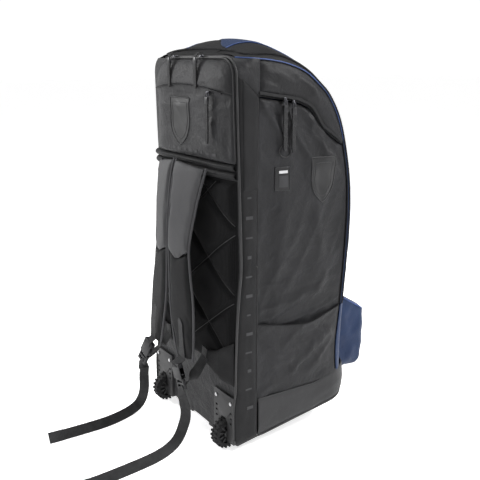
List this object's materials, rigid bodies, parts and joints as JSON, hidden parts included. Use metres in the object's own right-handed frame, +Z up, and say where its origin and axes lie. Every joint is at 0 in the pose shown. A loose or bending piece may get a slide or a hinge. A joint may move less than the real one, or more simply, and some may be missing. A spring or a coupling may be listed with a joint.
{
  "type": "wheeled hockey equipment bag",
  "caption": "Tall wheeled equipment bag with a padded back, shoulder straps, side pockets, a domed front flap and a front pocket.",
  "frame": {"origin": "middle of the bag's footprint on the floor, leaving out the two free webbing tails", "axes": "+Z up, +Y towards the front of the bag, +X to the wearer's right; the shoulder straps face -Y"},
  "size_m": [0.398, 0.7963, 0.9277],
  "materials": {
    "main_fabric": "charcoal woven polyester",
    "base_fabric": "smooth coated polyester, slightly lighter",
    "mesh_fabric": "quilted black air mesh",
    "strap_fabric": "charcoal padded polyester",
    "navy_fabric": "navy woven polyester with light blue piping",
    "webbing": "black polyester webbing",
    "moulded_grey": "moulded dark grey plastic",
    "black_plastic": "moulded black plastic",
    "tyre_rubber": "treaded black rubber",
    "steel": "plain bright steel",
    "zip_metal": "gunmetal coated zip metal"
  },
  "bodies": {
    "bag": {"anchor_webbing_left": "webbing", "anchor_webbing_right": "webbing", "back_board": "main_fabric", "back_pad": "mesh_fabric", "back_top_pocket": "main_fabric", "base_tray": "base_fabric", "bracket_rivet_inner_left": "steel", "bracket_rivet_inner_right": "steel", "bracket_rivet_outer_left": "steel", "bracket_rivet_outer_right": "steel", "buckle_socket_left": "black_plastic", "buckle_socket_right": "black_plastic", "front_pocket": "navy_fabric", "hem_pocket_left": "main_fabric", "hem_pocket_right": "main_fabric", "lower_front_panel": "navy_fabric", "rolled_band": "main_fabric", "shoulder_strap_left": "strap_fabric", "shoulder_strap_right": "strap_fabric", "side_panel_left": "main_fabric", "side_panel_right": "main_fabric", "side_pocket_left": "main_fabric", "side_pocket_right": "main_fabric", "skid_rail_left": "moulded_grey", "skid_rail_right": "moulded_grey", "strap_tail_left": "webbing", "strap_tail_right": "webbing", "strap_wing_left": "main_fabric", "strap_wing_right": "main_fabric", "wheel_axle_left": "steel", "wheel_axle_right": "steel", "wheel_bracket_left": "moulded_grey", "wheel_bracket_right": "moulded_grey"},
    "main_flap": {"main_flap": "navy_fabric", "haul_handle": "webbing"},
    "front_pocket_lid": {"front_pocket_lid": "navy_fabric"},
    "back_slider": {"back_slider": "zip_metal"},
    "back_pull": {"back_pull": "webbing"},
    "wheel_right": {"wheel_tyre_right": "tyre_rubber", "wheel_hub_right": "moulded_grey"},
    "buckle_tongue_right": {"buckle_tongue_right": "black_plastic"},
    "buckle_prong_outer_right": {"buckle_prong_outer_right": "black_plastic"},
    "buckle_prong_inner_right": {"buckle_prong_inner_right": "black_plastic"},
    "side_slider_rear_right": {"side_slider_rear_right": "zip_metal"},
    "side_pull_rear_right": {"side_pull_rear_right": "webbing"},
    "side_slider_front_right": {"side_slider_front_right": "zip_metal"},
    "side_pull_front_right": {"side_pull_front_right": "webbing"},
    "flap_slider_right": {"flap_slider_right": "zip_metal"},
    "flap_pull_right": {"flap_pull_right": "webbing"},
    "wheel_left": {"wheel_tyre_left": "tyre_rubber", "wheel_hub_left": "moulded_grey"},
    "buckle_tongue_left": {"buckle_tongue_left": "black_plastic"},
    "buckle_prong_outer_left": {"buckle_prong_outer_left": "black_plastic"},
    "buckle_prong_inner_left": {"buckle_prong_inner_left": "black_plastic"},
    "side_slider_rear_left": {"side_slider_rear_left": "zip_metal"},
    "side_pull_rear_left": {"side_pull_rear_left": "webbing"},
    "side_slider_front_left": {"side_slider_front_left": "zip_metal"},
    "side_pull_front_left": {"side_pull_front_left": "webbing"},
    "flap_slider_left": {"flap_slider_left": "zip_metal"},
    "flap_pull_left": {"flap_pull_left": "webbing"}
  },
  "joints": [
    {"name": "flap_fold", "type": "hinge", "parent": "bag", "child": "main_flap", "pos_m": [0, 0.18525, 0.303], "axis": [-1, 0, 0], "range_deg": [0, 88]},
    {"name": "pocket_lid_fold", "type": "hinge", "parent": "bag", "child": "front_pocket_lid", "pos_m": [0, 0.26665, 0.2457], "axis": [-1, 0, 0], "range_deg": [0, 180]},
    {"name": "back_zip_slide", "type": "slide", "parent": "bag", "child": "back_slider", "axis": [-1, 0, 0], "range_m": [-0.015, 0.245]},
    {"name": "back_pull_swing", "type": "hinge", "parent": "back_slider", "child": "back_pull", "pos_m": [0.115, -0.19125, 0.813], "axis": [-1, 0, 0], "range_deg": [0, 90]},
    {"name": "wheel_spin_right", "type": "hinge", "parent": "bag", "child": "wheel_right", "pos_m": [0.148, -0.16775, 0.035], "axis": [1, 0, 0], "continuous": true},
    {"name": "tongue_slide_right", "type": "slide", "parent": "bag", "child": "buckle_tongue_right", "axis": [0.2702, 0.1001, -0.9576], "range_m": [0, 0.03]},
    {"name": "prong_press_outer_right", "type": "slide", "parent": "buckle_tongue_right", "child": "buckle_prong_outer_right", "axis": [-0.9624, 0, -0.2715], "range_m": [0, 0.005], "stiffness_N_per_m": 400},
    {"name": "prong_press_inner_right", "type": "slide", "parent": "buckle_tongue_right", "child": "buckle_prong_inner_right", "axis": [0.9624, 0, 0.2715], "range_m": [0, 0.005], "stiffness_N_per_m": 400},
    {"name": "side_zip_slide_rear_right", "type": "slide", "parent": "bag", "child": "side_slider_rear_right", "axis": [0, -0.9687, 0.2482], "range_m": [0, 0.05]},
    {"name": "side_pull_swing_rear_right", "type": "hinge", "parent": "side_slider_rear_right", "child": "side_pull_rear_right", "pos_m": [0.198, -0.04275, 0.795], "axis": [0, -1, 0], "range_deg": [0, 90]},
    {"name": "side_zip_slide_front_right", "type": "slide", "parent": "bag", "child": "side_slider_front_right", "axis": [0, 0.8779, -0.4789], "range_m": [0, 0.06]},
    {"name": "side_pull_swing_front_right", "type": "hinge", "parent": "side_slider_front_right", "child": "side_pull_front_right", "pos_m": [0.198, -0.01975, 0.7895], "axis": [0, -1, 0], "range_deg": [0, 90]},
    {"name": "flap_zip_slide_right", "type": "slide", "parent": "bag", "child": "flap_slider_right", "axis": [1, 0, 0], "range_m": [0, 0.06]},
    {"name": "flap_pull_swing_right", "type": "hinge", "parent": "flap_slider_right", "child": "flap_pull_right", "pos_m": [0.061, -0.17175, 0.8935], "axis": [-1, 0, 0], "range_deg": [0, 120]},
    {"name": "wheel_spin_left", "type": "hinge", "parent": "bag", "child": "wheel_left", "pos_m": [-0.148, -0.16775, 0.035], "axis": [1, 0, 0], "continuous": true},
    {"name": "tongue_slide_left", "type": "slide", "parent": "bag", "child": "buckle_tongue_left", "axis": [-0.3203, -0.2602, -0.9109], "range_m": [0, 0.03]},
    {"name": "prong_press_outer_left", "type": "slide", "parent": "buckle_tongue_left", "child": "buckle_prong_outer_left", "axis": [0.9434, 0, -0.3317], "range_m": [0, 0.005], "stiffness_N_per_m": 400},
    {"name": "prong_press_inner_left", "type": "slide", "parent": "buckle_tongue_left", "child": "buckle_prong_inner_left", "axis": [-0.9434, 0, 0.3317], "range_m": [0, 0.005], "stiffness_N_per_m": 400},
    {"name": "side_zip_slide_rear_left", "type": "slide", "parent": "bag", "child": "side_slider_rear_left", "axis": [0, -0.9687, 0.2482], "range_m": [0, 0.05]},
    {"name": "side_pull_swing_rear_left", "type": "hinge", "parent": "side_slider_rear_left", "child": "side_pull_rear_left", "pos_m": [-0.198, -0.04275, 0.795], "axis": [0, 1, 0], "range_deg": [0, 90]},
    {"name": "side_zip_slide_front_left", "type": "slide", "parent": "bag", "child": "side_slider_front_left", "axis": [0, 0.8779, -0.4789], "range_m": [0, 0.06]},
    {"name": "side_pull_swing_front_left", "type": "hinge", "parent": "side_slider_front_left", "child": "side_pull_front_left", "pos_m": [-0.198, -0.01975, 0.7895], "axis": [0, 1, 0], "range_deg": [0, 90]},
    {"name": "flap_zip_slide_left", "type": "slide", "parent": "bag", "child": "flap_slider_left", "axis": [-1, 0, 0], "range_m": [0, 0.06]},
    {"name": "flap_pull_swing_left", "type": "hinge", "parent": "flap_slider_left", "child": "flap_pull_left", "pos_m": [-0.061, -0.17175, 0.8935], "axis": [-1, 0, 0], "range_deg": [0, 120]}
  ],
  "couplings": [
    {"joint": "prong_press_inner_right", "follows": "prong_press_outer_right", "ratio": 1},
    {"joint": "prong_press_inner_left", "follows": "prong_press_outer_left", "ratio": 1}
  ]
}
